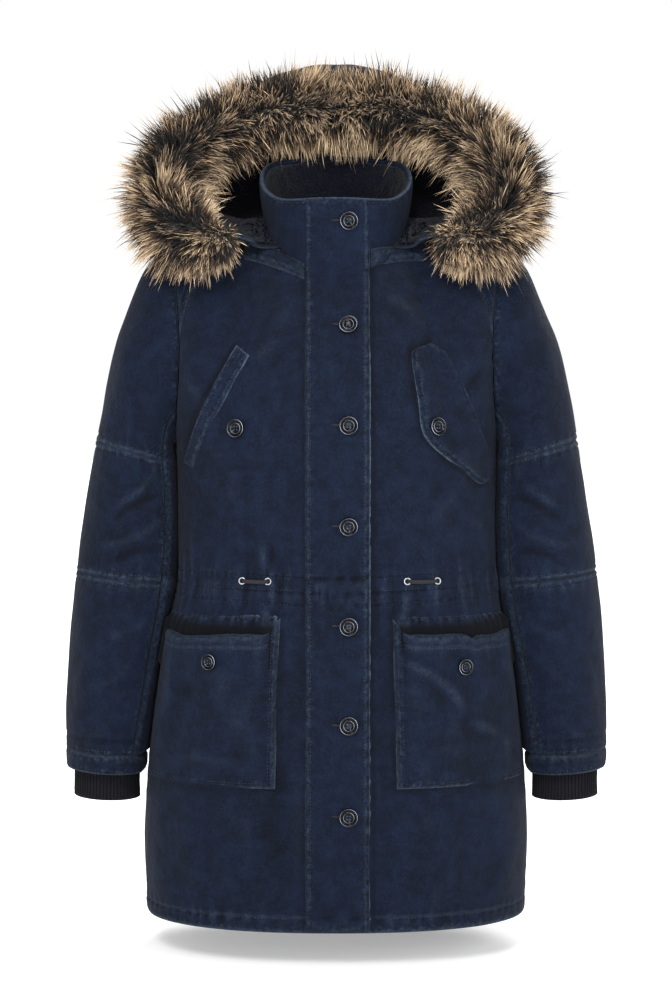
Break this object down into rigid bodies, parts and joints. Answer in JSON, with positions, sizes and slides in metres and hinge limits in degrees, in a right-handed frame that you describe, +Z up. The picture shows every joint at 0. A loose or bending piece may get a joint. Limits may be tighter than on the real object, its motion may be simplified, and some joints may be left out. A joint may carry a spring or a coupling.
{
  "type": "hooded parka",
  "caption": "Thigh-length hooded parka with a fur-trimmed hood, button placket, stand collar, patch pockets, slanted chest pockets and ribbed cuffs, hollow as worn.",
  "frame": {"origin": "on the centre line between the shoulders, midway front to back, level with the outer ends of the shoulder seams' line at the neck base", "axes": "+Z up, front faces -Y, +X towards the wearer's left"},
  "size_m": [0.678, 0.3418, 1.0604],
  "materials": {
    "twill": "washed cotton twill",
    "pile": "dense pile",
    "rib_knit": "rib knit",
    "fur": "long fur",
    "button": "polished",
    "nickel": "satin nickel",
    "brass": "aged",
    "braid": "flat braid"
  },
  "bodies": {
    "root": {"back": "twill", "chest_button_left": "button", "chest_button_right": "button", "chest_flap_left": "twill", "chest_welt_right": "twill", "collar": "twill", "collar_lining": "pile", "elbow_panel_left": "twill", "elbow_panel_right": "twill", "front_left": "twill", "front_right": "twill", "fur_trim_left": "fur", "fur_trim_right": "fur", "fur_trim_top": "fur", "hood_centre": "twill", "hood_lining": "pile", "hood_side_left": "twill", "hood_side_right": "twill", "hood_zip": "brass", "patch_pocket_left": "twill", "patch_pocket_right": "twill", "placket": "twill", "placket_button_1": "button", "placket_button_2": "button", "placket_button_3": "button", "placket_button_4": "button", "placket_button_5": "button", "placket_button_6": "button", "placket_button_7": "button", "pocket_button_left": "button", "pocket_button_right": "button", "pocket_flap_left": "twill", "pocket_flap_right": "twill", "rib_cuff_left": "rib_knit", "rib_cuff_right": "rib_knit", "sleeve_hem_left": "twill", "sleeve_hem_right": "twill", "sleeve_lower_left": "twill", "sleeve_lower_right": "twill", "sleeve_upper_left": "twill", "sleeve_upper_right": "twill", "under_sleeve_left": "twill", "under_sleeve_right": "twill", "waist_cord_left": "braid", "waist_cord_right": "braid", "waist_eyelet_left_1": "nickel", "waist_eyelet_left_2": "nickel", "waist_eyelet_right_1": "nickel", "waist_eyelet_right_2": "nickel", "yoke_left": "twill", "yoke_right": "twill"}
  },
  "joints": []
}
